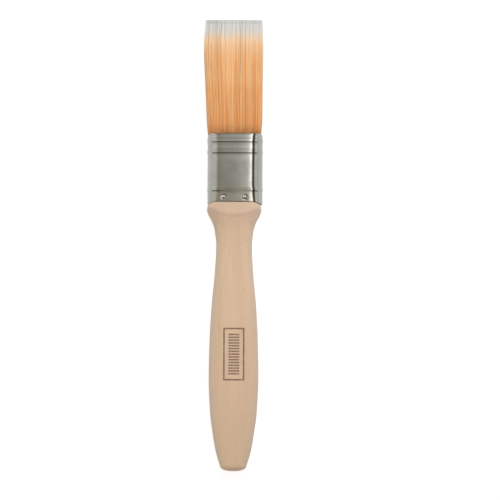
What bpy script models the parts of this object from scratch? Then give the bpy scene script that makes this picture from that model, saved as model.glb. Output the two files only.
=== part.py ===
"""Flat 25 mm (1 in) paint brush, lying on the back of its ferrule.

Frame: +X across the brush, +Y from the handle's tail to the filament tips, +Z up
through its thickness. The origin is on the surface it lies on, under the middle of
the brush. The ferrule is a tube with rolled beads. The handle's tongue is pushed
into its lower half and nailed from both faces. A cast epoxy plug holds the butts of
two packs of filaments, which a spacer plug keeps apart. Nothing on it moves.
"""

import math

import bmesh
import bpy
import numpy as np

# Driving dimensions, in metres.
OVERALL_LENGTH = 0.208
FILAMENT_LENGTH_OUT = 0.053
FERRULE_WIDTH = 0.0254
FERRULE_THICKNESS = 0.012
FERRULE_LENGTH = 0.0318
FERRULE_WALL = 0.0004
FERRULE_END = 0.0044  # how far each half-ellipse end reaches in from the side
BEAD_HEIGHT = 0.0002
BEAD_HALF_LENGTH = 0.0011
BEADS_BELOW_MOUTH = (0.0033, 0.0084, 0.0259)
GAP = 0.0003  # between pieces that touch on the real brush

TONGUE_LENGTH = 0.011
EPOXY_LENGTH = 0.003
SPACER_LENGTH = 0.0130
SPACER_WIDTH = 0.0226
SPACER_THICKNESS = 0.0036

NAIL_ABOVE_EDGE = 0.0021
NAIL_X = {"left": -0.0050, "right": 0.0048}  # set by hand, so not quite even
NAIL_HEAD_RADIUS = 0.0012
NAIL_SHANK_RADIUS = 0.0006
NAIL_LENGTH = 0.0045
NAIL_DOME = 0.00018
NAIL_POINT_LENGTH = 0.0009

# Handle outline: (distance from the ferrule's edge towards the tail, half width).
HANDLE_HALF_WIDTHS = (
    (0.0000, 0.0121),
    (0.0036, 0.0125),
    (0.0058, 0.0118),
    (0.0093, 0.0100),
    (0.0130, 0.0089),
    (0.0200, 0.0082),
    (0.0330, 0.0089),
    (0.0480, 0.01025),
    (0.0630, 0.01105),
    (0.0800, 0.0114),
    (0.0960, 0.01072),
    (0.1070, 0.0093),
    (0.1136, 0.00815),
    (0.1183, 0.00685),
    (0.1205, 0.0061),
)
# Handle side view: (distance, half thickness). It is scooped under the shoulder.
HANDLE_HALF_THICKNESSES = (
    (0.0000, 0.0057),
    (0.0045, 0.0057),
    (0.0070, 0.0053),
    (0.0130, 0.0045),
    (0.0220, 0.0043),
    (0.0600, 0.0051),
    (0.0850, 0.0049),
    (0.1100, 0.0039),
    (0.1205, 0.0034),
)
# Handle section: (distance, share of the half width that each rounded end takes up).
HANDLE_END_SHARES = ((0.0000, 0.42), (0.0050, 0.45), (0.0110, 0.74), (0.1205, 0.74))
TAIL_CAP_LENGTH = 0.0027
TAIL_CAP_POWER = 2.3
TAIL_CAP_TURNS = (30, 50, 66, 78, 86)  # degrees round the cap at which it has rings
TAIL_END_SHRINK = 0.12  # size of the small flat at the very end, next to the cap's start

# Filament pack: (distance past the mouth, half width) and (distance, outer height).
PACK_START = 0.0003
PACK_HALF_WIDTHS = (
    (PACK_START, 0.0120),
    (0.0015, 0.0124),
    (0.0108, 0.0127),
    (0.0200, 0.0129),
    (0.0293, 0.0132),
    (0.0403, 0.0136),
    (0.0470, 0.0133),
    (0.0530, 0.0129),
)
PACK_OUTER_HEIGHTS = (
    (PACK_START, 0.0053),
    (0.0060, 0.0058),
    (0.0140, 0.0060),
    (0.0300, 0.0050),
    (0.0530, 0.0028),
)
PACKS_MEET_INSIDE_MOUTH = 0.0005

# Worked out from the dimensions above.
TIP_Y = OVERALL_LENGTH / 2
TAIL_Y = -OVERALL_LENGTH / 2
MOUTH_Y = TIP_Y - FILAMENT_LENGTH_OUT
EDGE_Y = MOUTH_Y - FERRULE_LENGTH  # the ferrule's edge on the handle side
AXIS_HEIGHT = FERRULE_THICKNESS / 2 + BEAD_HEIGHT
INNER_HALF_WIDTH = FERRULE_WIDTH / 2 - FERRULE_WALL - GAP
INNER_HALF_THICKNESS = FERRULE_THICKNESS / 2 - FERRULE_WALL - GAP
INNER_END = FERRULE_END - FERRULE_WALL - GAP
TONGUE_END_Y = EDGE_Y + TONGUE_LENGTH
EPOXY_START_Y = TONGUE_END_Y + GAP
FILL_START_Y = EPOXY_START_Y + EPOXY_LENGTH + GAP
HANDLE_LENGTH = EDGE_Y - TAIL_Y
TAIL_CAP_START = HANDLE_LENGTH - TAIL_CAP_LENGTH

# Runs of rings that the long pieces are lofted through: (first, last, count).
HANDLE_RING_RUNS = ((GAP, 0.0045, 4), (0.0056, 0.0140, 8), (0.0170, TAIL_CAP_START, 26))
PACK_RING_RUNS = ((PACK_START, 0.0015, 2), (0.0040, 0.0480, 12), (0.0505, FILAMENT_LENGTH_OUT, 3))

END_SEGMENTS = 12
FLAT_SEGMENTS = 3
NAIL_SEGMENTS = 24


def clear_scene():
    for obj in list(bpy.data.objects):
        bpy.data.objects.remove(obj)


def new_collection(name):
    collection = bpy.data.collections.new(name)
    bpy.context.scene.collection.children.link(collection)
    return collection


def material(name, color, roughness, metallic=0.0):
    mat = bpy.data.materials.new(name)
    mat.use_nodes = True
    shader = mat.node_tree.nodes["Principled BSDF"]
    shader.inputs["Base Color"].default_value = (*color, 1.0)
    shader.inputs["Roughness"].default_value = roughness
    shader.inputs["Metallic"].default_value = metallic
    return mat


def follow(stations, place):
    """Value at place on the smooth curve through stations, which never overshoots them."""
    places, values = np.array(stations).T
    slopes = np.diff(values) / np.diff(places)
    tangents = [slopes[0]]
    for before, after in zip(slopes, slopes[1:]):
        same_way = before * after > 0
        tangents.append(2 * before * after / (before + after) if same_way else 0.0)
    tangents.append(slopes[-1])
    i = int(np.clip(np.searchsorted(places, place) - 1, 0, len(slopes) - 1))
    run = places[i + 1] - places[i]
    t = min(max((place - places[i]) / run, 0.0), 1.0)
    rise = values[i + 1] - values[i]
    steep_start = run * tangents[i] - rise
    steep_end = rise - run * tangents[i + 1]
    bend = t * (1 - t) * (steep_start * (1 - t) + steep_end * t)
    return float(values[i] + rise * t + bend)


def evenly(start, stop, count):
    return [start + (stop - start) * k / (count - 1) for k in range(count)]


def ring_places(runs):
    return [place for first, last, count in runs for place in evenly(first, last, count)]


def arc(centre_x, reach, height, start_deg, stop_deg, segments):
    """(x, z) points on part of an ellipse about (centre_x, 0)."""
    points = []
    for angle in evenly(start_deg, stop_deg, segments + 1):
        turn = math.radians(angle)
        points.append((centre_x + reach * math.cos(turn), height * math.sin(turn)))
    return points


def flat_between(start, stop, segments):
    """The (x, z) points between two corners, leaving out the corners themselves."""
    (x0, z0), (x1, z1) = start, stop
    shares = [k / segments for k in range(1, segments)]
    return [(x0 + (x1 - x0) * share, z0 + (z1 - z0) * share) for share in shares]


def full_section(half_width, half_height, end, flat_segments=FLAT_SEGMENTS):
    """Closed (x, z) outline with flat faces and half-ellipse ends, from the right end up."""
    flat = half_width - end
    right = arc(flat, end, half_height, -90, 90, END_SEGMENTS)
    left = arc(-flat, end, half_height, 90, 270, END_SEGMENTS)
    top = flat_between(right[-1], left[0], flat_segments)
    bottom = flat_between(left[-1], right[0], flat_segments)
    return right + top + left + bottom


def half_section(half_width, outer, inner, end):
    """Closed (x, z) outline of one pack: flat inner side, outer side as full_section's."""
    flat = half_width - end
    start_deg = math.degrees(math.asin(inner / outer))
    right = arc(flat, end, outer, start_deg, 90, END_SEGMENTS // 2)
    left = arc(-flat, end, outer, 90, 180 - start_deg, END_SEGMENTS // 2)
    top = flat_between(right[-1], left[0], FLAT_SEGMENTS)
    bottom = flat_between(left[-1], right[0], FLAT_SEGMENTS)
    return right + top + left + bottom


def loft(name, rings, mat, parent, capped=True):
    """A skin over rings of equal size, each (y, outline). Capped, it is a closed solid."""
    bm = bmesh.new()
    rows = [[bm.verts.new((x, y, z)) for x, z in outline] for y, outline in rings]
    for row, following in zip(rows, rows[1:]):
        for k in range(len(row)):
            n = (k + 1) % len(row)
            bm.faces.new((row[k], row[n], following[n], following[k]))
    if capped:
        bm.faces.new(rows[0])
        bm.faces.new(rows[-1])
    bmesh.ops.recalc_face_normals(bm, faces=bm.faces)
    return add_object(name, bm, mat, parent)


def add_object(name, bm, mat, parent, sharp_deg=35):
    mesh = bpy.data.meshes.new(name)
    bm.to_mesh(mesh)
    bm.free()
    mesh.materials.append(mat)
    mesh.shade_smooth()
    mesh.set_sharp_from_angle(angle=math.radians(sharp_deg))
    obj = bpy.data.objects.new(name, mesh)
    obj.parent = parent
    parts.objects.link(obj)
    return obj


def add_drill(name, radius, depth, x, y, z, parent):
    """A cutter along Z. It is centred on the place given, and hidden."""
    bm = bmesh.new()
    bmesh.ops.create_cone(
        bm, cap_ends=True, segments=NAIL_SEGMENTS, radius1=radius, radius2=radius, depth=depth
    )
    mesh = bpy.data.meshes.new(name)
    bm.to_mesh(mesh)
    bm.free()
    drill = bpy.data.objects.new(name, mesh)
    drill.location = (x, y, z)
    drill.parent = parent
    drill.hide_render = True
    drill.display_type = "WIRE"
    cutters.objects.link(drill)
    return drill


def cut(obj, drill):
    modifier = obj.modifiers.new(drill.name, "BOOLEAN")
    modifier.operation = "DIFFERENCE"
    modifier.solver = "EXACT"
    modifier.object = drill


def make_ferrule(mat, parent):
    """The rolled tube, drawn without its seam, with three beads pressed outwards."""
    rings = [(EDGE_Y, 0.0), (MOUTH_Y, 0.0)]
    for below_mouth in BEADS_BELOW_MOUTH:
        for turn in (-90, -45, 0, 45, 90):
            angle = math.radians(turn)
            y = MOUTH_Y - below_mouth + BEAD_HALF_LENGTH * math.sin(angle)
            rings.append((y, BEAD_HEIGHT * math.cos(angle)))
    half_width, half_thickness = FERRULE_WIDTH / 2, FERRULE_THICKNESS / 2
    outlines = [
        (y, full_section(half_width + out, half_thickness + out, FERRULE_END + out, 1))
        for y, out in sorted(rings)
    ]
    ferrule = loft("ferrule", outlines, mat, parent, capped=False)
    wall = ferrule.modifiers.new("wall", "SOLIDIFY")
    wall.thickness = FERRULE_WALL
    wall.offset = -1.0
    wall.use_even_offset = True
    return ferrule


def handle_ring(distance, shrink=1.0):
    half_width = follow(HANDLE_HALF_WIDTHS, distance) * shrink
    half_thickness = follow(HANDLE_HALF_THICKNESSES, distance) * shrink
    end = follow(HANDLE_END_SHARES, distance) * half_width
    return full_section(half_width, half_thickness, end)


def make_handle(mat, parent):
    """One piece of beech: tongue, square shoulder, scooped neck, belly and rounded tail."""
    tongue = full_section(INNER_HALF_WIDTH, INNER_HALF_THICKNESS, INNER_END)
    rings = [(TONGUE_END_Y, tongue), (EDGE_Y - GAP, tongue)]
    rings += [(EDGE_Y - place, handle_ring(place)) for place in ring_places(HANDLE_RING_RUNS)]
    for turn in TAIL_CAP_TURNS:
        along = math.sin(math.radians(turn))
        shrink = (1 - along**TAIL_CAP_POWER) ** (1 / TAIL_CAP_POWER)
        y = EDGE_Y - TAIL_CAP_START - TAIL_CAP_LENGTH * along
        rings.append((y, handle_ring(TAIL_CAP_START, shrink)))
    rings.append((TAIL_Y, handle_ring(TAIL_CAP_START, TAIL_END_SHRINK)))
    return loft("handle", rings, mat, parent)


def make_slab(name, start_y, length, half_width, half_height, end, mat, parent):
    outline = full_section(half_width, half_height, end)
    return loft(name, [(start_y, outline), (start_y + length, outline)], mat, parent)


def make_pack(name, side, mat, parent):
    """One half of the filaments as a plain solid. side is +1 above the axis, -1 below."""
    apart = SPACER_THICKNESS / 2 + GAP
    spacer_end_y = FILL_START_Y + SPACER_LENGTH
    inner_side = (
        (FILL_START_Y, apart),
        (spacer_end_y + GAP, apart),
        (MOUTH_Y - PACKS_MEET_INSIDE_MOUTH, GAP / 2),
        (TIP_Y, GAP / 2),
    )
    rings = []
    inside = [FILL_START_Y, spacer_end_y + GAP, MOUTH_Y - PACKS_MEET_INSIDE_MOUTH]
    for y in inside + [MOUTH_Y + place for place in ring_places(PACK_RING_RUNS)]:
        out = max(y - MOUTH_Y, PACK_START)
        half_width = follow(PACK_HALF_WIDTHS, out)
        outer = follow(PACK_OUTER_HEIGHTS, out)
        outline = half_section(half_width, outer, follow(inner_side, y), INNER_END)
        rings.append((y, [(x, side * z) for x, z in outline]))
    return loft(name, rings, mat, parent)


def make_nail(name, x, side, mat, parent):
    """A domed nail turned about Z, driven in from the front (+1) or the back (-1) face."""
    head_seat = -FERRULE_WALL
    profile = [(0.0, NAIL_DOME)]
    for turn in (30, 60, 90):
        angle = math.radians(turn)
        profile.append((NAIL_HEAD_RADIUS * math.sin(angle), NAIL_DOME * math.cos(angle)))
    profile += [
        (NAIL_HEAD_RADIUS, head_seat),
        (NAIL_SHANK_RADIUS, head_seat),
        (NAIL_SHANK_RADIUS, NAIL_POINT_LENGTH - NAIL_LENGTH),
        (0.0, -NAIL_LENGTH),
    ]
    bm = bmesh.new()
    verts = [bm.verts.new((radius, 0.0, z)) for radius, z in profile]
    for upper, lower in zip(verts, verts[1:]):
        bm.edges.new((upper, lower))
    nail = add_object(name, bm, mat, parent)
    turned = nail.modifiers.new("turned", "SCREW")
    turned.steps = turned.render_steps = NAIL_SEGMENTS
    turned.use_merge_vertices = True
    turned.merge_threshold = 0.000001
    nail.location = (x, EDGE_Y + NAIL_ABOVE_EDGE, side * FERRULE_THICKNESS / 2)
    if side < 0:
        nail.rotation_euler = (math.pi, 0.0, 0.0)
    return nail


def make_nails(ferrule, handle, mat, parent):
    """Two nails in each face, with the holes that they leave in the ferrule and the tongue."""
    y = EDGE_Y + NAIL_ABOVE_EDGE
    drill_depth = FERRULE_THICKNESS / 2
    pilot_depth = NAIL_LENGTH + GAP
    for face, side in (("front", 1), ("back", -1)):
        surface_z = side * FERRULE_THICKNESS / 2
        for place, x in NAIL_X.items():
            make_nail(f"nail_{face}_{place}", x, side, mat, parent)
            sheet_drill = add_drill(
                f"sheet_drill_{face}_{place}", NAIL_HEAD_RADIUS + GAP, drill_depth, x, y, surface_z, parent
            )
            pilot_drill = add_drill(
                f"pilot_drill_{face}_{place}",
                NAIL_SHANK_RADIUS + GAP,
                2 * pilot_depth,
                x,
                y,
                surface_z,
                parent,
            )
            cut(ferrule, sheet_drill)
            cut(handle, pilot_drill)


def main():
    axis = bpy.data.objects.new("brush_axis", None)
    axis.location = (0.0, 0.0, AXIS_HEIGHT)
    parts.objects.link(axis)

    beech = material("beech", (0.66, 0.45, 0.31), 0.62)
    tinplate = material("tinplate", (0.45, 0.45, 0.43), 0.28, 1.0)
    bright_steel = material("bright_steel", (0.60, 0.60, 0.58), 0.18, 1.0)
    epoxy = material("epoxy", (0.42, 0.30, 0.14), 0.25)
    softwood = material("softwood", (0.60, 0.44, 0.27), 0.75)
    filament = material("orange_filament", (0.83, 0.38, 0.15), 0.45)

    ferrule = make_ferrule(tinplate, axis)
    handle = make_handle(beech, axis)
    make_nails(ferrule, handle, bright_steel, axis)
    make_slab(
        "epoxy_setting",
        EPOXY_START_Y,
        EPOXY_LENGTH,
        INNER_HALF_WIDTH,
        INNER_HALF_THICKNESS,
        INNER_END,
        epoxy,
        axis,
    )
    make_slab(
        "spacer_plug",
        FILL_START_Y,
        SPACER_LENGTH,
        SPACER_WIDTH / 2,
        SPACER_THICKNESS / 2,
        SPACER_THICKNESS / 2,
        softwood,
        axis,
    )
    make_pack("filament_pack_front", 1, filament, axis)
    make_pack("filament_pack_back", -1, filament, axis)


clear_scene()
parts = new_collection("flat_paint_brush")
cutters = new_collection("cutters")
main()
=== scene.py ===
"""Looks of a flat 25 mm paint brush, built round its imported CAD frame.

The handle, the ferrule, the nail heads and the two filament packs are finer versions of
the CAD solids that they replace. The spacer plug and the epoxy setting stay as they are,
with better materials. Everything is in metres, in the frame of the CAD: +X across the
brush, +Y towards the filament tips, +Z out of the front face.
"""

import math

import bmesh
import bpy
import numpy as np
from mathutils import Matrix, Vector


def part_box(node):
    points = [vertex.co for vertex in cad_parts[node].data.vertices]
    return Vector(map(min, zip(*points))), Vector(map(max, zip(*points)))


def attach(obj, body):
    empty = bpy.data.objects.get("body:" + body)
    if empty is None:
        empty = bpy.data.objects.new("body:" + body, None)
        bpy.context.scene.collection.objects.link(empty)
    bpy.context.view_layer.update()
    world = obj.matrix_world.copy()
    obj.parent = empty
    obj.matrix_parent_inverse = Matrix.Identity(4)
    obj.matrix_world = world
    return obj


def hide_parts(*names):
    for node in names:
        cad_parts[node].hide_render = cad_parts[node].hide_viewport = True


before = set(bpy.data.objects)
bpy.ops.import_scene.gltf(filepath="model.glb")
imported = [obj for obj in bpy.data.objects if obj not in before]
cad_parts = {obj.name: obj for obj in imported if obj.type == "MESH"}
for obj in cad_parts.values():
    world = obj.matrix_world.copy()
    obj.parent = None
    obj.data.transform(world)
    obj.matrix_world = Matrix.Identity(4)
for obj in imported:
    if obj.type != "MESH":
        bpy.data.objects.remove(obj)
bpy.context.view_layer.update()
random = np.random.default_rng(25)  # for the filaments

# Places read from the frame.
ferrule_low, ferrule_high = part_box("ferrule")
handle_low, handle_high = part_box("handle")
EDGE_Y = ferrule_low.y  # the ferrule's edge on the handle side
MOUTH_Y = ferrule_high.y
TAIL_Y = handle_low.y
TONGUE_Y = handle_high.y  # the end of the handle's tongue, inside the ferrule
TIP_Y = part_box("filament_pack_front")[1].y
AXIS_Z = (ferrule_low.z + ferrule_high.z) / 2
HANDLE_LENGTH = EDGE_Y - TAIL_Y
PACK_LENGTH = TIP_Y - MOUTH_Y

# Ferrule, as in the CAD, with slightly domed faces.
BEAD_HEIGHT = 0.0002  # how far the CAD's beads stand out
FERRULE_HALF_WIDTH = (ferrule_high.x - ferrule_low.x) / 2 - BEAD_HEIGHT
FERRULE_HALF_THICKNESS = (ferrule_high.z - ferrule_low.z) / 2 - BEAD_HEIGHT
FERRULE_END = 0.0044  # width of each rounded end
CORNER_X = FERRULE_HALF_WIDTH - FERRULE_END  # where the faces meet the rounded ends
FERRULE_WALL = 0.0003
FERRULE_SHIFT = 0.00015  # the tube sits a little towards its seam
FERRULE_POINTS = (49, 77)  # of a section: round each end, then along each face
FACE_CROWN, FACE_SHOULDER = 0.00025, 0.00008  # how far the faces fall away by their edges
CROWN_POWER, SHOULDER_POWER = 2, 8  # gently over the whole face, and late by its edges
MOUTH_RIM, EDGE_RIM = (0.0020, 0.00055), (0.00040, 0.00010)  # how long and how far they roll in
BEAD_FLAT, BEAD_HALF_LENGTH = 0.00058, 0.00116  # half lengths of a bead's top and foot
BEADS_BELOW_MOUTH = (0.0033, 0.0084, 0.0259)
BEAD_SHARES = (0.79, 0.84, 0.70)  # of the full height, round the ends
BEAD_FACE_SHARES = (0.79, 0.84, 0.05)  # the lowest one is pressed flat again on the faces
SEAM_STEP = 0.0003  # how far the lap stands proud
# Degrees round the +X end: where the lap starts to rise, over how many, and where it steps down.
LAP_START, LAP_RISE, LAP_STEP = 62, 60, -28
SEAM_OVERHANG = 0.0003  # how far the lap sticks out past the edge
END_DROOP = 0.0006  # how far the edge hangs down round both ends
DROOP_LENGTH = 0.004  # both fade out over this length
# Slow waves of the sheet: their height, and their lengths across and along.
WAVE_HEIGHT = 0.000005
WAVE_LENGTHS = ((0.019, 0.026), (0.011, 0.017), (0.0075, 0.012), (0.024, 0.009), (0.006, 0.0065))
WAVE_SEED = 3
# The waves, and the pressing of the lowest bead, have faded out at this share of the half width.
FLAT_SHARE, FLAT_POWER = 0.8, 4
# Rows of points along the tube: all along it, by the mouth, and (start, end, count) past the edge.
TUBE_ROWS, MOUTH_ROWS = 80, 16
EDGE_ROWS, NAIL_ROWS = (0.0, 0.0006, 7), (0.0004, 0.0048, 34)
BEAD_ROWS, BEAD_REACH = 28, 1.1 * BEAD_HALF_LENGTH
ROW_GAP = 0.00003  # a row closer than this to the one before is left out
# Slope of the faces along Y, in degrees, by distance below the mouth: the sheet is pulled in
# at the beads and at the lower rim, and full between them.
FACE_TILTS = (
    (0.0000, 3.0),
    (0.0024, 5.2),
    (0.0030, 4.8),
    (0.0036, 0.8),
    (0.0043, -0.4),
    (0.0049, -1.5),
    (0.0063, 4.6),
    (0.0074, 1.6),
    (0.0089, -0.2),
    (0.0098, -2.2),
    (0.0106, 3.8),
    (0.0140, 0.2),
    (0.0225, -0.1),
    (0.0240, -0.2),
    (0.0248, -5.4),
    (0.0276, -5.3),
    (0.0284, -3.6),
    (0.0305, -3.8),
    (0.0318, -4.6),
)
TILT_SAMPLES = 319  # one every 0.1 mm

# Nails.
NAIL_HEAD_RADIUS = 0.0012
NAIL_DOME_ABOVE = 0.00024
NAIL_DOME_BELOW = 0.00024
NAIL_DOME_RINGS = (3, 84, 14)  # from and to these degrees off its middle, and how many
NAIL_SIDES = 48
# The head's rim and the shank, down to its point: (radius, height off the face).
NAIL_SHANK = (
    (NAIL_HEAD_RADIUS, -NAIL_DOME_BELOW - 0.0001),
    (0.0006, -NAIL_DOME_BELOW - 0.00012),
    (0.0006, -0.0036),
    (0.00008, -0.0045),
)
DIMPLE_RADIUS = 0.00165
DIMPLE_DEPTH = 0.00022
# How far each head leans off the face, towards +X and +Y in degrees, as the hammer left it.
NAIL_LEANS = {"left": (-8.0, -6.0), "right": (-9.0, -6.0)}

# Handle outline: (distance from the ferrule's edge towards the tail, half width).
HANDLE_HALF_WIDTHS = (
    (0.0000, 0.0121),
    (0.0036, 0.0125),
    (0.0058, 0.0118),
    (0.0093, 0.0100),
    (0.0130, 0.0089),
    (0.0200, 0.0082),
    (0.0330, 0.0089),
    (0.0480, 0.01025),
    (0.0630, 0.01105),
    (0.0800, 0.0114),
    (0.0960, 0.01072),
    (0.1070, 0.0093),
    (0.1136, 0.00815),
    (0.1183, 0.00685),
    (0.1205, 0.0061),
)
HANDLE_HALF_THICKNESSES = (
    (0.0000, 0.0057),
    (0.0051, 0.0057),
    (0.0056, 0.00562),
    (0.0074, 0.0051),
    (0.0130, 0.0045),
    (0.0220, 0.0043),
    (0.0600, 0.0051),
    (0.0850, 0.0049),
    (0.1100, 0.0039),
    (0.1205, 0.0034),
)
# (distance from the ferrule's edge, share of the half width that is rounded).
HANDLE_END_SHARES = ((0.0000, 0.42), (0.0050, 0.45), (0.0110, 0.74), (0.1205, 0.74))
HANDLE_CROWN = 0.05  # the faces fall away by this share at their edges
HANDLE_POINTS = (33, 19)  # of a section: round each end, then along each face
NECK_START, NECK_END = 0.0008, 0.016  # the rings are closer together between these
NECK_RINGS, BODY_RINGS = 60, 150
TAIL_CAP_LENGTH = 0.0027
TAIL_CAP_POWER = 2.3
TAIL_CAP_RINGS = (0, 88, 14)  # from and to these degrees round the cap, and how many
# The curved lip that the neck's scoop leaves: where it is, how far it bows and its length.
LIP_PLACE, LIP_REACH, LIP_SPREAD = 0.0055, 0.0030, 0.0030
SHOULDER_GAP = 0.00003  # between the shoulder and the ferrule's edge
SANDED_LENGTH, SANDED_DEPTH = 0.0004, 0.0003  # of the shoulder's rounded edge
SANDED_TURNS = (0, 30, 60, 90)
TONGUE_GAP = 0.0003  # between the tongue and the inside of the sheet
TONGUE_EASE = 0.0002  # the tongue stays clear of the sheet where it is pulled in

# Filament packs: (distance past the mouth, half width) and (distance, outer height).
PACK_HALF_WIDTHS = (
    (-0.0030, 0.0120),
    (0.0003, 0.0122),
    (0.0015, 0.0126),
    (0.0108, 0.0129),
    (0.0200, 0.0131),
    (0.0293, 0.0134),
    (0.0403, 0.0137),
    (0.0470, 0.0135),
    (0.0530, 0.0132),
)
PACK_OUTER_HEIGHTS = (
    (-0.0030, 0.0049),
    (0.0003, 0.0049),
    (0.0030, 0.0053),
    (0.0070, 0.0057),
    (0.0140, 0.0060),
    (0.0300, 0.0050),
    (0.0530, 0.0028),
)
# (distance past the mouth, how far the pack has moved across).
PACK_LEANS = (
    (-0.0030, 0.0000),
    (0.0003, 0.0000),
    (0.0200, -0.0003),
    (0.0400, -0.0006),
    (0.0530, -0.0004),
)
PACK_WIDTH_TO_HEIGHT = 4.6
PACK_FLOOR = -0.0002  # the filaments next to the middle may cross it by this much
# The ends of a pack's section are round: (where that begins across, how wide it is, least height).
ROUND_FROM, ROUND_WIDTH, ROUND_LEAST = 0.62, 0.40, 0.05

# Filaments.
FILAMENTS_PER_PACK = 2800
FILAMENT_RADIUS, RADIUS_SPREAD = 0.000125, 0.12
FILAMENT_SIDES = 4
TAPER = ((0.0, 1.0), (0.036, 0.95), (PACK_LENGTH, 0.74))  # (distance past the mouth, share left)
CUT_TAPER = 0.6  # the last ring is smaller again
JITTER_ACROSS, JITTER_UP = 0.5, 0.45  # of the roots, in their spacings
LOWEST_ROOT = 0.02  # as a share of the pack's height
SHORT_SPREAD = 0.00030  # how far the filaments end short of the tip
STRAY_SHARE, STRAY_SHORT = 0.05, 0.0012  # a few end this much shorter still
# Rings before the fade, as distances past the mouth. Those marked 1 move by up to UNEVEN.
PLAIN_RINGS = (-0.0015, 0.0050, 0.0090, 0.0150, 0.0220, 0.0270)
PLAIN_MOVES = (0, 0, 1, 1, 1, 1)
UNEVEN = 0.0030
FADE_DRIFT = 0.0008  # how far a whole fade moves along its filament
# Each filament leans to a clump near it, in which height counts less and chance a little.
CLUMPS = 170
CLUMP_FLATNESS, CLUMP_BLUR = 0.35, 0.02
CLUMP_PULL, CLUMP_LENGTH, CLUMP_POWER = 0.045, 0.045, 1.3  # share of the way, gained over a length
CLUMP_LIFT = 0.25  # the part of that pull which counts in height
SWAY_ACROSS, SWAY_UP = 60, 75  # radians per metre
SWAY_HEIGHT, SWAY_LENGTH = 0.00007, 0.02  # gained over this length
# Shades: a random wave, moved by the streaks, is cut at these steps into deep to pale shades.
SHADE_SPREAD = 0.8
SHADE_STEPS = (-0.9, 0.30, 1.2)
DEEP_TO_PALE = (3, 1, 0, 2)  # places in SHADES
# Painted shade and sheen: the outermost filaments get a greyer, darker shade for how light falls on
# the pack's sides.
PACK_SIDE_SHADE = 4
PACK_SIDE_SHADE_FROM, PACK_SIDE_SHADE_BLUR = 0.935, 0.025  # where the filaments in painted shade at the sides begin
PACK_SIDE_SHADE_SHARE = 0.75  # of the filaments there
# Streaks of deeper (or, if negative, paler) dye: (place across from -1 to 1, half width, strength).
STREAKS = (
    (-0.72, 0.05, 0.4),
    (-0.59, 0.05, -0.8),
    (-0.42, 0.06, 0.4),
    (-0.17, 0.06, -0.6),
    (0.05, 0.07, 0.3),
    (0.23, 0.03, -1.5),
    (0.36, 0.05, 0.3),
    (0.58, 0.05, -0.6),
    (0.74, 0.055, 2.4),
)


# ---------------------------------------------------------------- curves and sections
def follow(stations, places):
    """Values at places on the smooth curve through stations, which never overshoots them."""
    at, values = np.array(stations).T
    slopes = np.diff(values) / np.diff(at)
    tangents = [slopes[0]]
    for before, after in zip(slopes, slopes[1:]):
        same_way = before * after > 0
        tangents.append(2 * before * after / (before + after) if same_way else 0.0)
    tangents = np.array(tangents + [slopes[-1]])
    places = np.asarray(places, float)
    i = np.clip(np.searchsorted(at, places) - 1, 0, len(slopes) - 1)
    run, rise = np.diff(at)[i], np.diff(values)[i]
    t = np.clip((places - at[i]) / run, 0.0, 1.0)
    steep_start = run * tangents[i] - rise
    steep_end = rise - run * tangents[i + 1]
    return values[i] + rise * t + t * (1 - t) * (steep_start * (1 - t) + steep_end * t)


def section(half_width, half_height, end, end_points, flat_points):
    """(x, z) points of a flat section with half-ellipse ends, from -Z round +X."""
    flat = half_width - end
    turn = np.radians(np.linspace(-90, 90, end_points))
    across = np.linspace(flat, -flat, flat_points + 2)[1:-1]
    x = np.concatenate([flat + end * np.cos(turn), across, -flat - end * np.cos(turn), -across])
    rise = np.full(flat_points, half_height)
    z = np.concatenate([half_height * np.sin(turn), rise, -half_height * np.sin(turn), -rise])
    return x, z


def skin_mesh(name, rings, capped):
    """A mesh over rings of points, an array of (ring, point, xyz)."""
    count, around = rings.shape[:2]
    start = np.arange(count - 1)[:, None] * around
    here = np.arange(around)[None, :]
    there = (here + 1) % around
    ahead = start + around
    quads = np.stack([start + here, start + there, ahead + there, ahead + here], -1)
    faces = quads.reshape(-1, 4).tolist()
    if capped:
        faces.append(list(range(around)))
        faces.append([(count - 1) * around + k for k in range(around)])
    mesh = bpy.data.meshes.new(name)
    mesh.from_pydata(rings.reshape(-1, 3).tolist(), [], faces)
    bm = bmesh.new()
    bm.from_mesh(mesh)
    bmesh.ops.recalc_face_normals(bm, faces=bm.faces)
    bm.to_mesh(mesh)
    bm.free()
    return mesh


def add_piece(name, mesh, materials, stands_for, sharp_deg=None):
    """Puts a mesh in the scene as a piece of the brush, which rides on the root body."""
    for mat in materials:
        mesh.materials.append(mat)
    mesh.shade_smooth()
    if sharp_deg:
        mesh.set_sharp_from_angle(angle=math.radians(sharp_deg))
    piece = bpy.data.objects.new(name, mesh)
    bpy.context.scene.collection.objects.link(piece)
    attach(piece, "root")
    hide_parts(*stands_for)
    return piece


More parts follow.
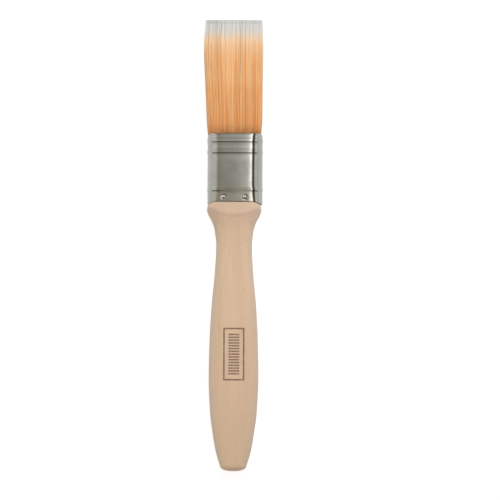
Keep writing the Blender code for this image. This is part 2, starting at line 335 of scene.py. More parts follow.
# ---------------------------------------------------------------- node helpers
class Graph:
    """A few short names for building a node tree."""

    def __init__(self, tree):
        self.tree = tree

    def node(self, kind, **settings):
        made = self.tree.nodes.new(kind)
        for key, value in settings.items():
            setattr(made, key, value)
        return made

    def put(self, socket, value):
        if isinstance(value, bpy.types.NodeSocket):
            self.tree.links.new(value, socket)
        elif isinstance(value, (tuple, list)) and len(value) == 3 and socket.type == "RGBA":
            socket.default_value = (*value, 1.0)
        else:
            socket.default_value = value

    def math(self, operation, a, b=0.0, c=0.0):
        made = self.node("ShaderNodeMath", operation=operation)
        for socket, value in zip(made.inputs, (a, b, c)):
            self.put(socket, value)
        return made.outputs[0]

    def spread(self, value, low, high, to_low=0.0, to_high=1.0, shape="SMOOTHSTEP"):
        """value from low..high, smoothly unless told otherwise, to to_low..to_high."""
        made = self.node("ShaderNodeMapRange", interpolation_type=shape)
        for key, number in (
            ("Value", value),
            ("From Min", low),
            ("From Max", high),
            ("To Min", to_low),
            ("To Max", to_high),
        ):
            self.put(made.inputs[key], number)
        return made.outputs[0]

    def mix(self, share, a, b, blend="MIX"):
        made = self.node("ShaderNodeMix", data_type="RGBA", blend_type=blend)
        for socket, value in ((0, share), (6, a), (7, b)):
            self.put(made.inputs[socket], value)
        return made.outputs[2]

    def split(self, vector):
        """The x, y and z of a vector."""
        made = self.node("ShaderNodeSeparateXYZ")
        self.put(made.inputs[0], vector)
        return made.outputs[0], made.outputs[1], made.outputs[2]


class Surface(Graph):
    """The nodes of one material, with patterns that follow the object's own coordinates."""

    def __init__(self, name, roughness, metallic=0.0):
        self.material = bpy.data.materials.new(name)
        self.material.use_nodes = True
        super().__init__(self.material.node_tree)
        self.shader = self.tree.nodes["Principled BSDF"]
        self.put(self.shader.inputs["Roughness"], roughness)
        self.put(self.shader.inputs["Metallic"], metallic)
        self.place = self.node("ShaderNodeTexCoord").outputs["Object"]

    def pattern(self, kind, output, scale, origin, **inputs):
        """A texture over the object coordinates times a scale, in cycles per metre."""
        mapping = self.node("ShaderNodeMapping")
        self.put(mapping.inputs["Vector"], self.place)
        self.put(mapping.inputs["Location"], origin)
        self.put(mapping.inputs["Scale"], scale)
        made = self.node(kind)
        self.put(made.inputs["Vector"], mapping.outputs[0])
        self.put(made.inputs["Scale"], 1.0)
        for key, value in inputs.items():
            self.put(made.inputs[key], value)
        return made.outputs[output]

    def noise(self, scale, detail, roughness=0.5, distortion=0.0, origin=(0.0, 0.0, 0.0)):
        settings = {"Detail": detail, "Roughness": roughness, "Distortion": distortion}
        return self.pattern("ShaderNodeTexNoise", "Fac", scale, origin, **settings)

    def cells(self, scale, origin=(0.0, 0.0, 0.0)):
        return self.pattern("ShaderNodeTexVoronoi", "Distance", scale, origin)

    def bump(self, height, strength, distance):
        made = self.node("ShaderNodeBump")
        self.put(made.inputs["Height"], height)
        self.put(made.inputs["Strength"], strength)
        self.put(made.inputs["Distance"], distance)
        self.put(self.shader.inputs["Normal"], made.outputs[0])

    def color(self, value):
        self.put(self.shader.inputs["Base Color"], value)

    def rough(self, value):
        self.put(self.shader.inputs["Roughness"], value)

    def shine(self, level):
        self.put(self.shader.inputs["Specular IOR Level"], level)


# ---------------------------------------------------------------- materials
STAMP_CENTRE = (0.0001, -0.0507)
STAMP_HALF = (0.0045, 0.0117)
STAMP_LINE = 0.00062
STAMP_SOFT = 0.00012  # how far the ink's edges fade
STAMP_BARS = 15
STAMP_BAR_PITCH = 0.00128
STAMP_BAR_HALF = (0.0025, 0.00036)
STAMP_BLEED = 0.0002  # how far the wood's pores let the ink wander
STAMP_DEPTH = 0.001  # it fades in over this height above the middle
INK, INK_SHARE = (0.120, 0.066, 0.046), 0.88

BEECH_PALE, BEECH_BAND = (0.612, 0.448, 0.315), (0.562, 0.402, 0.275)
BEECH_FIBRE = (0.500, 0.332, 0.212)
BEECH_CLOUD = (0.66, 0.455, 0.335)
BEECH_RAY = (0.40, 0.235, 0.135)
# Painted shade towards the tail and on the sides, a sanded tint, and a painted shadow by the ferrule;
# the places are distances from the ferrule's edge.
# painted shade: darker towards the tail, where the light falls off
TAIL_SHADE, TAIL_SHADE_END = (0.515, 0.360, 0.238), 0.045
# painted shade: the handle's sides, which turn from the light, are greyer
HANDLE_SIDE_SHADE = (0.440, 0.370, 0.320)
SANDED, SANDED_PLACE = (0.605, 0.435, 0.340), (0.0105, 0.0050)
# painted shadow along the ferrule's edge, where the handle meets it
FERRULE_EDGE_SHADOW, FERRULE_EDGE_SHADOW_PLACE = (0.400, 0.285, 0.190), (0.0008, 0.0001)

TIN_DARK, TIN_LIGHT, TIN_BLOTCH = (0.350, 0.348, 0.326), (0.385, 0.385, 0.363), (0.31, 0.30, 0.27)
NAIL_BRIGHT, NAIL_MARKED = (0.64, 0.64, 0.62), (0.46, 0.45, 0.43)
SOFTWOOD_PALE, SOFTWOOD_RING, SAWN = (0.66, 0.49, 0.30), (0.47, 0.30, 0.155), (0.72, 0.57, 0.38)
RESIN, RESIN_FLOW, RESIN_BUBBLE = (0.46, 0.32, 0.14), (0.30, 0.17, 0.055), (0.70, 0.58, 0.36)


def stamp_mask(g):
    """1 where the front of the handle is printed: a plain closed frame round even bars."""
    x, y, z = g.split(g.place)
    bleed = g.math("MULTIPLY_ADD", g.noise((900, 900, 900), 2), STAMP_BLEED, -STAMP_BLEED / 2)
    across = g.math("ABSOLUTE", g.math("ADD", g.math("SUBTRACT", x, STAMP_CENTRE[0]), bleed))
    along = g.math("SUBTRACT", y, STAMP_CENTRE[1])
    from_middle = g.math("ABSOLUTE", along)
    past_x = g.math("SUBTRACT", across, STAMP_HALF[0])
    past_y = g.math("SUBTRACT", from_middle, STAMP_HALF[1])
    from_frame = g.math("ABSOLUTE", g.math("MAXIMUM", past_x, past_y))
    frame_line = g.spread(from_frame, STAMP_LINE / 2, STAMP_LINE / 2 + STAMP_SOFT, 1.0, 0.0)

    # even bars, repeated along the handle as far as the last one
    from_bar = g.math("PINGPONG", from_middle, STAMP_BAR_PITCH / 2)
    half_x, half_y = STAMP_BAR_HALF
    bar = g.spread(from_bar, half_y - STAMP_SOFT, half_y + STAMP_SOFT, 1.0, 0.0)
    in_x = g.spread(across, half_x - STAMP_SOFT, half_x + STAMP_SOFT, 1.0, 0.0)
    last = STAMP_BARS / 2 * STAMP_BAR_PITCH
    in_y = g.spread(from_middle, last - STAMP_SOFT, last + STAMP_SOFT, 1.0, 0.0)
    bars = g.math("MULTIPLY", bar, g.math("MULTIPLY", in_x, in_y))

    patchy = g.spread(g.noise((1500, 900, 1500), 3, 0.6), 0.30, 0.62, 0.66, 1.0)
    front = g.spread(z, AXIS_Z, AXIS_Z + STAMP_DEPTH)
    printed = g.math("MAXIMUM", frame_line, bars)
    return g.math("MULTIPLY", g.math("MULTIPLY", printed, patchy), front)


def beech():
    """Bare beech: pale pinkish tan, straight grain along Y, short darker ray flecks."""
    g = Surface("beech", roughness=0.62)
    bands = g.noise((110, 7, 110), 3, 0.5, 0.6)
    fibres = g.noise((1500, 45, 1500), 4, 0.6)
    cloud = g.noise((45, 22, 45), 2, 0.5, origin=(3.0, 1.0, 0.0))
    color = g.mix(g.spread(bands, 0.36, 0.66), BEECH_PALE, BEECH_BAND)
    color = g.mix(g.spread(fibres, 0.35, 0.75, 0.0, 0.35), color, BEECH_FIBRE)
    color = g.mix(g.spread(cloud, 0.35, 0.7, 0.0, 0.35), color, BEECH_CLOUD)
    rays = g.spread(g.cells((1500, 330, 1500), (0.5, 0.2, 0.1)), 0.12, 0.30, 1.0, 0.0)
    thin = g.spread(g.noise((260, 90, 260), 2), 0.42, 0.60)
    rays = g.math("MULTIPLY", rays, thin)
    color = g.mix(g.math("MULTIPLY", rays, 0.45), color, BEECH_RAY)
    # painted shade: the wood is darker towards the tail and greyer on the sides, which turn from the
    # light;
    # the sanded shoulder is pinker, and a painted shadow lies along the ferrule's edge
    y = g.split(g.place)[1]
    color = g.mix(g.spread(y, TAIL_Y, EDGE_Y - TAIL_SHADE_END, 0.30, 0.0), color, TAIL_SHADE)
    # painted shade on the sides, by how far the surface turns sideways
    sideways = g.split(g.node("ShaderNodeTexCoord").outputs["Normal"])[0]
    color = g.mix(g.spread(g.math("ABSOLUTE", sideways), 0.30, 0.95, 0.0, 0.50), color, HANDLE_SIDE_SHADE)
    # a pinker sanded tint, then the painted shadow by the ferrule
    for tint, (start, end) in ((SANDED, SANDED_PLACE), (FERRULE_EDGE_SHADOW, FERRULE_EDGE_SHADOW_PLACE)):
        color = g.mix(g.spread(y, EDGE_Y - start, EDGE_Y - end, 0.0, 0.5), color, tint)
    g.color(g.mix(g.math("MULTIPLY", stamp_mask(g), INK_SHARE), color, INK))
    g.rough(g.spread(fibres, 0.3, 0.7, 0.56, 0.70))
    relief = g.math("SUBTRACT", fibres, g.math("MULTIPLY", rays, 0.5))
    g.bump(relief, 0.35, 0.00006)
    g.shine(0.35)
    return g.material


def tinplate():
    """Tin-plated sheet: a cloudy mirror with faint rolling lines round the tube."""
    g = Surface("tinplate", roughness=0.2, metallic=1.0)
    cloud = g.noise((150, 150, 150), 4, 0.55)
    blotch = g.noise((420, 240, 420), 3, 0.6, origin=(5.0, 2.0, 1.0))
    color = g.mix(g.spread(cloud, 0.32, 0.68), TIN_DARK, TIN_LIGHT)
    g.color(g.mix(g.spread(blotch, 0.55, 0.8, 0.0, 0.4), color, TIN_BLOTCH))
    rolled = g.noise((60, 5200, 60), 3, 0.6)
    uneven = g.math("ADD", g.math("MULTIPLY", blotch, 0.7), g.math("MULTIPLY", rolled, 0.3))
    g.rough(g.spread(uneven, 0.3, 0.7, 0.08, 0.15))
    relief = g.math("ADD", g.math("MULTIPLY", rolled, 0.25), g.noise((700, 500, 700), 2))
    g.bump(relief, 0.10, 0.00005)
    return g.material


def nail_steel():
    """Bright drawn wire with a few hammer marks on its head."""
    g = Surface("nail_steel", roughness=0.15, metallic=1.0)
    marks = g.noise((2600, 2600, 2600), 3, 0.6)
    g.color(g.mix(g.spread(marks, 0.35, 0.7), NAIL_BRIGHT, NAIL_MARKED))
    g.rough(g.spread(marks, 0.3, 0.7, 0.07, 0.18))
    g.bump(marks, 0.3, 0.00005)
    return g.material


def softwood():
    """Sawn softwood with wide, soft growth rings."""
    g = Surface("softwood", roughness=0.8)
    rings = g.noise((700, 25, 900), 3, 0.5, 0.8)
    saw = g.noise((250, 3000, 250), 2)
    color = g.mix(g.spread(rings, 0.35, 0.65), SOFTWOOD_PALE, SOFTWOOD_RING)
    g.color(g.mix(g.spread(saw, 0.45, 0.7, 0.0, 0.3), color, SAWN))
    g.rough(g.spread(saw, 0.3, 0.7, 0.72, 0.88))
    g.bump(g.math("ADD", rings, g.math("MULTIPLY", saw, 0.5)), 0.4, 0.00008)
    return g.material


def epoxy():
    """Cast amber resin with small bubbles and darker flow lines."""
    g = Surface("epoxy", roughness=0.2)
    flow = g.noise((260, 520, 260), 3, 0.5, 1.5)
    bubbles = g.spread(g.cells((1900, 1900, 1900)), 0.10, 0.22, 1.0, 0.0)
    color = g.mix(g.spread(flow, 0.35, 0.65), RESIN, RESIN_FLOW)
    g.color(g.mix(g.math("MULTIPLY", bubbles, 0.6), color, RESIN_BUBBLE))
    g.rough(g.spread(flow, 0.3, 0.7, 0.12, 0.3))
    g.bump(g.math("SUBTRACT", flow, bubbles), 0.3, 0.00008)
    return g.material


# Filaments: a few shades of dyed orange, each fading in steps to clear white at the tip.
# Each filament starts its fade at its own place, so the steps don't line up.
SHADES = (
    (0.860, 0.515, 0.250),
    (0.845, 0.465, 0.200),
    (0.870, 0.580, 0.335),
    (0.800, 0.400, 0.150),
    (0.620, 0.430, 0.275),  # greyer and darker: painted shade and sheen for the filaments at the sides
)
PALE_DYE = (0.950, 0.700, 0.450)  # half way through the fade
WHITE_TIP = (0.690, 0.680, 0.658)
CUT_END = (0.600, 0.600, 0.580)  # past the last zone of the fade
# Painted shade: the filaments grow darker and more saturated towards the ferrule, where they pack
# close; these multiply a shade at the root and a little further out.
ROOT_SHADOW_TONE, LOWER_SHADOW_TONE = (0.975, 0.825, 0.69), (0.97, 0.885, 0.79)
FADE_START = 0.0195  # short of the tip
# (where the zone ends, as a distance short of the tip, and its share of white)
FADE_ZONES = (
    (0.0155, 0.06),
    (0.0122, 0.18),
    (0.0095, 0.38),
    (0.0075, 0.62),
    (0.0058, 0.85),
    (0.0018, 1.0),
)
TONES = len(FADE_ZONES) + 4  # root, lower, full shade, the fade's zones and the cut end
SPAN_TONES = (0, 0, 1, 1, 2, 2, *range(3, TONES))  # the tone between each two rings


def faded(shade, share):
    """A shade on its way to white, by way of a pale dye."""
    parts = (1 - share) ** 2, 2 * share * (1 - share), share**2
    channels = zip(shade, PALE_DYE, WHITE_TIP)
    return tuple(sum(p * c for p, c in zip(parts, colors)) for colors in channels)


def filament_materials():
    """Satin plastics: every tone of every shade."""
    made = []
    for shade_number, shade in enumerate(SHADES):
        # the root and lower tones carry the painted shade by the ferrule
        tones = [tuple(s * r for s, r in zip(shade, tone)) for tone in (ROOT_SHADOW_TONE, LOWER_SHADOW_TONE)]
        tones.append(shade)
        tones += [faded(shade, share) for _, share in FADE_ZONES]
        tones.append(CUT_END)
        for tone_number, tone in enumerate(tones):
            g = Surface(f"filament_{shade_number}_{tone_number}", roughness=0.42)
            g.color(tone)
            g.rough(g.spread(g.noise((5000, 300, 5000), 2), 0.3, 0.7, 0.36, 0.5))
            g.shine(0.45)
            made.append(g.material)
    return made


# ---------------------------------------------------------------- faces of the ferrule
def face_drop(x):
    """How far the ferrule's faces have fallen away at x: gently, then faster by the edge."""
    across = np.abs(x) / CORNER_X
    inner = np.minimum(across, 1.0)
    past = np.maximum(across - 1.0, 0.0)
    edge_slope = CROWN_POWER * FACE_CROWN + SHOULDER_POWER * FACE_SHOULDER
    drop = FACE_CROWN * inner**CROWN_POWER + FACE_SHOULDER * inner**SHOULDER_POWER
    return drop + edge_slope * past


def end_share(x):
    """How far x has got round the ferrule's rounded ends: 0 on the faces, 1 at the sides."""
    return np.clip((np.abs(x) - CORNER_X) / FERRULE_END, 0, 1)


def face_dip(y):
    """How far the faces lie below their fullest place at y, from the slopes along the tube."""
    below_mouth = np.linspace(0, MOUTH_Y - EDGE_Y, TILT_SAMPLES)
    slopes = np.tan(np.radians(follow(FACE_TILTS, below_mouth)))
    steps = (slopes[1:] + slopes[:-1]) / 2 * np.diff(below_mouth)
    heights = np.concatenate([[0], np.cumsum(steps)])
    return np.interp(MOUTH_Y - y, below_mouth, heights.max() - heights)


def face_share(x, y):
    """Height of the faces at (x, y), as a share of the ferrule's half thickness."""
    dip = face_dip(y) * (1 - end_share(x))
    return (1 - face_drop(x) / FERRULE_HALF_THICKNESS) * (1 - dip / FERRULE_HALF_THICKNESS)


# ---------------------------------------------------------------- handle
def handle_ring(places, shrink=1.0, inset=0.0):
    """Points of the handle's sections at distances from the ferrule's edge."""
    rings = []
    for place in np.atleast_1d(places):
        half_width = float(follow(HANDLE_HALF_WIDTHS, place)) * shrink - inset
        half_height = float(follow(HANDLE_HALF_THICKNESSES, place)) * shrink - inset
        end = float(follow(HANDLE_END_SHARES, place)) * half_width
        x, z = section(half_width, half_height, end, *HANDLE_POINTS)
        z = z * (1 - HANDLE_CROWN * (x / half_width) ** 2)
        lip = LIP_REACH * math.exp(-(((place - LIP_PLACE) / LIP_SPREAD) ** 2))
        bow = lip * (x / half_width) ** 2 * np.abs(z) / half_height
        rings.append(np.stack([x, EDGE_Y - place + bow, AXIS_Z + z], -1))
    return rings


def make_handle(mat):
    """Tongue, square shoulder with a sanded edge, scooped neck, belly and rounded tail."""
    inside = FERRULE_WALL + TONGUE_GAP
    half_width, half_height = FERRULE_HALF_WIDTH - inside, FERRULE_HALF_THICKNESS - inside
    x, z = section(half_width, half_height, FERRULE_END - inside, *HANDLE_POINTS)
    z = z * (1 - (face_drop(x) + TONGUE_EASE) / FERRULE_HALF_THICKNESS)
    rings = []
    for y in (TONGUE_Y, EDGE_Y - SHOULDER_GAP):
        rings.append(np.stack([x, np.full_like(x, y), AXIS_Z + z], -1))
    for angle in map(math.radians, SANDED_TURNS):
        place = SHOULDER_GAP + SANDED_LENGTH * (1 - math.cos(angle))
        rings += handle_ring(place, inset=SANDED_DEPTH * (1 - math.sin(angle)))
    cap_start = HANDLE_LENGTH - TAIL_CAP_LENGTH
    rings += handle_ring(np.linspace(NECK_START, NECK_END, NECK_RINGS)[1:])
    rings += handle_ring(np.linspace(NECK_END, cap_start, BODY_RINGS)[1:])
    for turn in np.linspace(*TAIL_CAP_RINGS)[1:]:
        along = math.sin(math.radians(turn))
        shrink = (1 - along**TAIL_CAP_POWER) ** (1 / TAIL_CAP_POWER)
        ring = handle_ring(cap_start, shrink)[0]
        ring[:, 1] = EDGE_Y - cap_start - TAIL_CAP_LENGTH * along
        rings.append(ring)
    mesh = skin_mesh("handle_beech", np.array(rings), True)
    add_piece("handle_beech", mesh, [mat], ["handle"], sharp_deg=50)


# ---------------------------------------------------------------- ferrule
def nail_places():
    """(x, y, side) of each nail, from the CAD nodes."""
    places = {}
    for face, side in (("front", 1), ("back", -1)):
        for hand in ("left", "right"):
            low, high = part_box(f"nail_{face}_{hand}")
            places[f"nail_{face}_{hand}"] = ((low.x + high.x) / 2, (low.y + high.y) / 2, side)
    return places


def ferrule_rows():
    """Places along Y, closer together at the rims, the beads and the nails."""
    rows = list(np.linspace(EDGE_Y, MOUTH_Y, TUBE_ROWS))
    rows += list(MOUTH_Y - MOUTH_RIM[0] * np.linspace(0, 1, MOUTH_ROWS) ** 2)
    for start, end, count in (EDGE_ROWS, NAIL_ROWS):
        rows += list(np.linspace(EDGE_Y + start, EDGE_Y + end, count))
    for below in BEADS_BELOW_MOUTH:
        middle = MOUTH_Y - below
        rows += list(np.linspace(middle - BEAD_REACH, middle + BEAD_REACH, BEAD_ROWS))
    rows = np.sort(np.array(rows))
    return rows[np.concatenate([[True], np.diff(rows) > ROW_GAP])]


def bead_rise(y, shares):
    """How far the beads stand out at y: flat on top, with rounded flanks."""
    rise = 0.0
    for below, share in zip(BEADS_BELOW_MOUTH, shares):
        away = (abs(y - (MOUTH_Y - below)) - BEAD_FLAT) / (BEAD_HALF_LENGTH - BEAD_FLAT)
        rise += share * BEAD_HEIGHT * (0.5 + 0.5 * math.cos(math.pi * min(max(away, 0.0), 1.0)))
    return rise


def rim_fall(y):
    """How far the rolled rims have turned in at y."""
    fall = 0.0
    for (length, drop), away in ((MOUTH_RIM, MOUTH_Y - y), (EDGE_RIM, y - EDGE_Y)):
        fall += drop * (1 - math.sqrt(1 - max(1 - away / length, 0.0) ** 2))
    return fall


def slow_waves(x, y):
    """A smooth, uneven surface: the sum of a few long waves, about -1 to 1."""
    phases = np.random.default_rng(WAVE_SEED).uniform(0, 2 * np.pi, (len(WAVE_LENGTHS), 2))
    total = np.zeros_like(x)
    for (phase_x, phase_y), (wide, long) in zip(phases, WAVE_LENGTHS):
        total += np.sin(2 * np.pi * x / wide + phase_x) * np.sin(2 * np.pi * y / long + phase_y)
    return total / 3


def dimple_depth(x, y, facing, nails):
    """How far the sheet is dented round those nails that are on the side it is facing."""
    depth = np.zeros_like(x)
    for nail_x, nail_y, side in nails:
        away = np.clip(np.hypot(x - nail_x, y - nail_y) / DIMPLE_RADIUS, 0, 1)
        depth += np.where(facing == side, DIMPLE_DEPTH * (1 - away**2) ** 2, 0.0)
    return depth


def lap_share(x, turn):
    """How far the lap on the +X side has risen: up slowly round the end, then down in one step."""
    angle = np.degrees(turn)
    lapped = (x > CORNER_X) & (angle > LAP_STEP) & (angle < LAP_START)
    return np.where(lapped, np.clip((LAP_START - angle) / LAP_RISE, 0, 1), 0.0)


def make_ferrule(mat):
    """The rolled tube: beads, a lap seam down one side, dimples round the nails."""
    nails = nail_places().values()
    rings = []
    for y in ferrule_rows():
        rise = bead_rise(y, BEAD_SHARES) - rim_fall(y)
        pressed_back = bead_rise(y, BEAD_SHARES) - bead_rise(y, BEAD_FACE_SHARES)
        half_width = FERRULE_HALF_WIDTH - FERRULE_SHIFT + rise
        half_height = FERRULE_HALF_THICKNESS + rise
        x, z = section(half_width, half_height, FERRULE_END + rise, *FERRULE_POINTS)
        z = z * face_share(x, y)
        facing = np.sign(z)
        flatness = np.clip(1 - np.abs(x / (FERRULE_HALF_WIDTH * FLAT_SHARE)) ** FLAT_POWER, 0, 1)
        waves = WAVE_HEIGHT * flatness * slow_waves(x, np.full_like(x, y))
        push = (waves - pressed_back * flatness) - dimple_depth(x, y, facing, nails)
        z = z + facing * push
        turn = np.arctan2(z, x - CORNER_X)
        lap = lap_share(x, turn)
        x = x + SEAM_STEP * lap * np.cos(turn) + FERRULE_SHIFT
        z = z + SEAM_STEP * lap * np.sin(turn)
        overhang = SEAM_OVERHANG * lap + END_DROOP * end_share(x)
        overhang = overhang * max(1 - (y - EDGE_Y) / DROOP_LENGTH, 0.0)
        rings.append(np.stack([x, y - overhang, AXIS_Z + z], -1))
    mesh = skin_mesh("ferrule_tinplate", np.array(rings), False)
    ferrule = add_piece("ferrule_tinplate", mesh, [mat], ["ferrule"], sharp_deg=60)
    wall = ferrule.modifiers.new("wall", "SOLIDIFY")
    wall.thickness = FERRULE_WALL
    wall.offset = -1.0


def make_nails(mat):
    """Domed heads that sit in the dimples, on their shanks."""
    turns = np.radians(np.linspace(0, 360, NAIL_SIDES + 1)[:-1])
    dome = NAIL_DOME_ABOVE + NAIL_DOME_BELOW
    profile = []
    for angle in np.radians(np.linspace(*NAIL_DOME_RINGS)):
        height = NAIL_DOME_ABOVE - dome * (1 - math.cos(angle))
        profile.append((NAIL_HEAD_RADIUS * math.sin(angle), height))
    profile += NAIL_SHANK
    for name, (x, y, side) in nail_places().items():
        face_z = AXIS_Z + side * FERRULE_HALF_THICKNESS * float(face_share(x, y))
        lean_x, lean_y = np.tan(np.radians(NAIL_LEANS[name.rsplit("_", 1)[1]]))
        rings = []
        for r, z in profile:
            out_x, out_y = r * np.cos(turns), r * np.sin(turns)
            leaning = z - lean_x * out_x - lean_y * out_y
            rings.append(np.stack([x + out_x, y + out_y, face_z + side * leaning], -1))
        mesh = skin_mesh(f"{name}_domed", np.array(rings), True)
        add_piece(f"{name}_domed", mesh, [mat], [name], sharp_deg=40)


# ---------------------------------------------------------------- filaments
def filament_roots():
    """(across, up) places from -1 to 1 and 0 to 1, evenly scattered over half the section."""
    rows = int(round(math.sqrt(FILAMENTS_PER_PACK / PACK_WIDTH_TO_HEIGHT)))
    columns = int(round(FILAMENTS_PER_PACK / rows))
    across, up = np.meshgrid(np.linspace(-1, 1, columns), np.linspace(0, 1, rows))
    across = across.ravel() + random.uniform(-JITTER_ACROSS, JITTER_ACROSS, across.size) * 2 / columns
    up = up.ravel() + random.uniform(-JITTER_UP, JITTER_UP, up.size) / rows
    return np.clip(across, -1, 1), np.clip(up, LOWEST_ROOT, 1)


def nearest_clump(across, up):
    """(across, up) of the clump that each filament leans to: a near one, not quite the nearest."""
    clump_x, clump_z = random.uniform(-1, 1, CLUMPS), random.uniform(0, 1, CLUMPS)
    rise = CLUMP_FLATNESS * (up[:, None] - clump_z[None, :])
    apart = np.hypot(across[:, None] - clump_x[None, :], rise)
    nearest = (apart + random.normal(0, CLUMP_BLUR, apart.shape)).argmin(1)
    return clump_x[nearest], clump_z[nearest]


def pick_shades(across):
    """A shade's number for each filament: at random, in streaks, and a painted-shade one at the
    sides.
    """
    count = len(across)
    shade_wave = random.normal(0, SHADE_SPREAD, count)
    for place, half_width, strength in STREAKS:
        shade_wave -= strength * np.exp(-(((across - place) / half_width) ** 2))
    shades = np.array(DEEP_TO_PALE)[np.digitize(shade_wave, SHADE_STEPS)]
    at_side = np.abs(across) > PACK_SIDE_SHADE_FROM + random.normal(0, PACK_SIDE_SHADE_BLUR, count)
    shades[at_side & (random.random(count) < PACK_SIDE_SHADE_SHARE)] = PACK_SIDE_SHADE
    return shades


def rings_along(count):
    """Distances past the mouth of each filament's rings: plain ones, then where its zones end."""
    short = np.abs(random.normal(0, SHORT_SPREAD, count))
    short += STRAY_SHORT * (random.random(count) < STRAY_SHARE)
    drift = random.normal(0, FADE_DRIFT, (count, 1))
    uneven = random.uniform(-UNEVEN, UNEVEN, (count, 1))
    plain = np.array([PLAIN_RINGS]) + uneven * PLAIN_MOVES
    *zone_ends, last_zone_end = [place for place, _ in FADE_ZONES]
    fade = PACK_LENGTH - np.array([[FADE_START, *zone_ends]]) + drift
    ends = (PACK_LENGTH - short)[:, None]
    return np.concatenate([plain, fade, ends - last_zone_end, ends], 1)


def centre_lines(across, up, clump, out):
    """x and height above the middle of each filament at its rings."""
    width = follow(PACK_HALF_WIDTHS, out) - FILAMENT_RADIUS
    height = follow(PACK_OUTER_HEIGHTS, out) - FILAMENT_RADIUS
    pull = CLUMP_PULL * np.clip(out / CLUMP_LENGTH, 0, 1) ** CLUMP_POWER
    sway = random.normal(0, 1, (len(across), 4))
    loose = np.clip(out / SWAY_LENGTH, 0, 1)
    bend = np.sin(out * SWAY_ACROSS + sway[:, :1]) * sway[:, 1:2] * SWAY_HEIGHT * loose
    lift = np.sin(out * SWAY_UP + sway[:, 2:3]) * sway[:, 3:4] * SWAY_HEIGHT * loose
    u = across[:, None] + (clump[0] - across)[:, None] * pull
    v = up[:, None] + (clump[1] - up)[:, None] * pull * CLUMP_LIFT
    # the ends of the section are round, so the outer filaments sit lower there
    past = np.clip((np.abs(u) - ROUND_FROM) / ROUND_WIDTH, 0, 1)
    round_off = np.sqrt(np.clip(1 - past**2, ROUND_LEAST, 1))
    x = u * width + bend
    z = v * height * round_off * (1 - face_drop(x) / FERRULE_HALF_THICKNESS) + lift
    return x + follow(PACK_LEANS, out), np.clip(z, PACK_FLOOR, height)


def make_pack(name, node, side, materials):
    """Every filament of one pack as its own tapered tube, in a left and a right half."""
    across, up = filament_roots()
    count = len(across)
    clump = nearest_clump(across, up)
    shades = pick_shades(across)
    out = rings_along(count)
    x, z = centre_lines(across, up, clump, out)

    radius = FILAMENT_RADIUS * (1 + RADIUS_SPREAD * random.normal(0, 1, count))[:, None]
    taper = np.interp(out, *zip(*TAPER))
    taper[:, -1] *= CUT_TAPER
    radius = radius * taper
    corner = np.arange(FILAMENT_SIDES) * 2 * np.pi / FILAMENT_SIDES
    corner = corner[None, :] + random.uniform(0, np.pi, count)[:, None]
    ring_x = x[:, :, None] + radius[:, :, None] * np.cos(corner)[:, None, :]
    ring_z = z[:, :, None] + radius[:, :, None] * np.sin(corner)[:, None, :]
    ring_y = np.repeat((MOUTH_Y + out)[:, :, None], FILAMENT_SIDES, 2)
    coords = np.stack([ring_x, ring_y, AXIS_Z + side * ring_z], -1)
    for hand, chosen in (("left", across < 0), ("right", across >= 0)):
        mesh = tubes_mesh(f"{name}_{hand}", coords[chosen], shades[chosen], side, materials)
        add_piece(mesh.name, mesh, [], [node])


def tubes_mesh(name, coords, shades, side, materials):
    """Quads between neighbouring rings, then one flat end at each tip and each root."""
    count, points = coords.shape[:2]
    first = np.arange(count)[:, None, None] * points * FILAMENT_SIDES
    ring = np.arange(points - 1)[None, :, None] * FILAMENT_SIDES
    here = np.arange(FILAMENT_SIDES)[None, None, :]
    there = (here + 1) % FILAMENT_SIDES
    base = first + ring
    ahead = base + FILAMENT_SIDES
    quads = np.stack([base + here, base + there, ahead + there, ahead + here], -1)
    if side > 0:
        quads = quads[..., ::-1]
    slots = shades[:, None, None] * TONES + np.array(SPAN_TONES)[None, :, None] + 0 * here
    tip = first[:, :, 0] + (points - 1) * FILAMENT_SIDES + np.arange(FILAMENT_SIDES)[None, :]
    root = first[:, :, 0] + np.arange(FILAMENT_SIDES)[None, :]
    tip, root = (tip, root[:, ::-1]) if side < 0 else (tip[:, ::-1], root)
    faces = np.concatenate([quads.reshape(-1, 4), tip, root])
    slot_of_face = np.concatenate([slots.ravel(), shades * TONES + TONES - 1, shades * TONES])

    mesh = bpy.data.meshes.new(name)
    mesh.vertices.add(coords.size // 3)
    mesh.vertices.foreach_set("co", coords.astype(np.float32).ravel())
    mesh.loops.add(faces.size)
    mesh.loops.foreach_set("vertex_index", faces.astype(np.int32).ravel())
    mesh.polygons.add(len(faces))
    mesh.polygons.foreach_set("loop_start", np.arange(0, faces.size, 4, dtype=np.int32))
    for mat in materials:
        mesh.materials.append(mat)
    mesh.polygons.foreach_set("material_index", slot_of_face.astype(np.int32))
    mesh.update(calc_edges=True)
    mesh.validate()
    return mesh


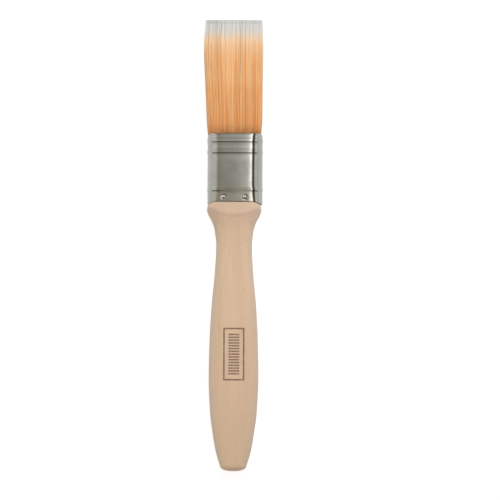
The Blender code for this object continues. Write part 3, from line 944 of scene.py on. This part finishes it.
# ---------------------------------------------------------------- studio
# Brightness of the sky by the x of its direction, which multiplies that by its y:
# (place, brightness, warmth).
ACROSS_STOPS = (
    (-0.85, 1.00, 0.0),
    (-0.55, 0.98, 1.0),
    (-0.36, 0.90, 2.0),
    (-0.24, 0.72, 2.0),
    (-0.17, 0.40, 1.4),
    (-0.13, 0.50, 1.0),
    (-0.09, 0.56, 0.8),
    (-0.03, 0.57, 0.8),
    (0.013, 0.65, 0.8),
    (0.040, 0.76, 0.7),
    (0.088, 0.94, 0.6),
    (0.120, 1.06, 0.4),
    (0.150, 2.30, 0.3),
    (0.210, 2.40, 0.3),
    (0.244, 0.30, 0.5),
    (0.350, 0.08, 0.5),
    (0.540, 0.08, 0.5),
    (0.660, 0.46, 0.3),
    (0.760, 1.00, 0.0),
)
ALONG_STOPS = (
    (-1.00, 1.00, 0.0),
    (-0.60, 0.32, 0.0),
    (-0.35, 0.20, 0.0),
    (-0.17, 0.25, 0.0),
    (-0.10, 0.86, 1.5),
    (-0.05, 1.20, 1.5),
    (0.03, 1.08, 0.6),
    (0.07, 1.00, 0.0),
    (0.10, 1.00, 0.0),
    (0.17, 1.18, 0.0),
    (0.22, 1.28, 0.0),
    (0.36, 1.17, 0.0),
    (0.60, 1.18, 0.0),
    (0.80, 0.70, 1.6),
    (1.00, 0.52, 2.2),
)
WARM_GREEN, WARM_BLUE = 0.022, 0.105  # what warmth takes away: by its square, and by itself
HORIZON = (0.97, 0.97, 0.96)
HORIZON_HEIGHTS = (0.08, 0.30)  # the sky takes over from the horizon between these
RAMP_SHARE = 0.5  # each ramp holds this share of its brightness
SKY_STRENGTH = 1 / RAMP_SHARE**2  # which makes up for both

KEY_PLACE, KEY_SIZE, KEY_POWER = (0.22, 0.62, 0.80), 0.8, 8.1

TABLE_GREYS = (0.20, 0.20, 0.20), (0.22, 0.22, 0.22)
TABLE_GLOW = 0.86  # it gives off its own light, so that it comes out white
TABLE_RADIUS = 6.0
TABLE_TOP = -0.00005


def sky_ramp(g, value, stops):
    """A colour ramp over -1 to 1, from (place, brightness, warmth) stops."""
    made = g.node("ShaderNodeValToRGB")
    ramp = made.color_ramp
    while len(ramp.elements) < len(stops):
        ramp.elements.new(0.5)
    for element, (place, bright, warm) in zip(ramp.elements, stops):
        red = bright * RAMP_SHARE
        element.position = (place + 1) / 2
        element.color = (red, red * (1 - WARM_GREEN * warm**2), red * (1 - WARM_BLUE * warm), 1)
    g.put(made.inputs[0], g.spread(value, -1.0, 1.0, shape="LINEAR"))
    return made.outputs[0]


def make_world():
    """A pale studio: grey overhead, a bright and a black flag on the +X side, dark by the tail."""
    world = bpy.data.worlds.new("studio")
    bpy.context.scene.world = world
    world.use_nodes = True
    g = Graph(world.node_tree)
    x, y, z = g.split(g.node("ShaderNodeTexCoord").outputs["Generated"])
    overhead = g.mix(1.0, sky_ramp(g, x, ACROSS_STOPS), sky_ramp(g, y, ALONG_STOPS), "MULTIPLY")
    horizon = tuple(value / SKY_STRENGTH for value in HORIZON)
    background = g.tree.nodes["Background"]
    g.put(background.inputs["Color"], g.mix(g.spread(z, *HORIZON_HEIGHTS), horizon, overhead))
    g.put(background.inputs["Strength"], SKY_STRENGTH)


def make_key_light():
    """One soft lamp beyond the tips, aimed at the brush. It shows in no reflection."""
    data = bpy.data.lights.new("key", "AREA")
    data.shape = "DISK"
    data.size = KEY_SIZE
    data.energy = KEY_POWER
    light = bpy.data.objects.new("key", data)
    light.location = KEY_PLACE
    light.rotation_euler = (-Vector(KEY_PLACE)).to_track_quat("-Z", "Y").to_euler()
    light.visible_glossy = False
    bpy.context.scene.collection.objects.link(light)


def make_floor():
    """A plain white table top, far larger than the brush."""
    g = Surface("white_table", roughness=0.85)
    g.color(g.mix(g.spread(g.noise((30, 30, 30), 3), 0.3, 0.7), *TABLE_GREYS))
    g.put(g.shader.inputs["Emission Color"], (1.0, 1.0, 1.0))
    g.put(g.shader.inputs["Emission Strength"], TABLE_GLOW)
    bm = bmesh.new()
    bmesh.ops.create_circle(bm, cap_ends=True, segments=64, radius=TABLE_RADIUS)
    mesh = bpy.data.meshes.new("table_top")
    bm.to_mesh(mesh)
    bm.free()
    mesh.materials.append(g.material)
    floor = bpy.data.objects.new("table_top", mesh)
    floor.location.z = TABLE_TOP
    bpy.context.scene.collection.objects.link(floor)


CAMERA_LENS = 250.0
CAMERA_SENSOR = 36.0
FRAMED_WIDTH = 0.2297  # what the picture spans at the brush
CAMERA_TILT = math.radians(5.0)  # the camera stands a little towards the handle's tail
CAMERA_ROLL = math.radians(0.22)
AIM = (0.00732, -0.0025, AXIS_Z)  # what the picture's middle shows


def make_camera():
    """A long lens high over the brush."""
    data = bpy.data.cameras.new("camera")
    data.lens = CAMERA_LENS
    data.sensor_width = CAMERA_SENSOR
    data.clip_start, data.clip_end = 0.01, 50.0
    camera = bpy.data.objects.new("camera", data)
    distance = FRAMED_WIDTH / 2 / (CAMERA_SENSOR / 2 / CAMERA_LENS)
    back = Vector((0.0, -math.sin(CAMERA_TILT), math.cos(CAMERA_TILT)))
    camera.location = Vector(AIM) + back * distance
    camera.rotation_euler = (CAMERA_TILT, 0.0, 0.0)
    camera.rotation_euler.rotate_axis("Z", CAMERA_ROLL)
    bpy.context.scene.collection.objects.link(camera)
    bpy.context.scene.camera = camera


make_camera()
make_world()
make_floor()
make_key_light()

make_handle(beech())
make_ferrule(tinplate())
make_nails(nail_steel())
dyed = filament_materials()
make_pack("filaments_front", "filament_pack_front", 1, dyed)
make_pack("filaments_back", "filament_pack_back", -1, dyed)
for node_name, finish in (("spacer_plug", softwood()), ("epoxy_setting", epoxy())):
    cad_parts[node_name].data.materials.clear()
    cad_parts[node_name].data.materials.append(finish)

scene = bpy.context.scene
scene.view_settings.view_transform = "Standard"
scene.view_settings.look = "None"
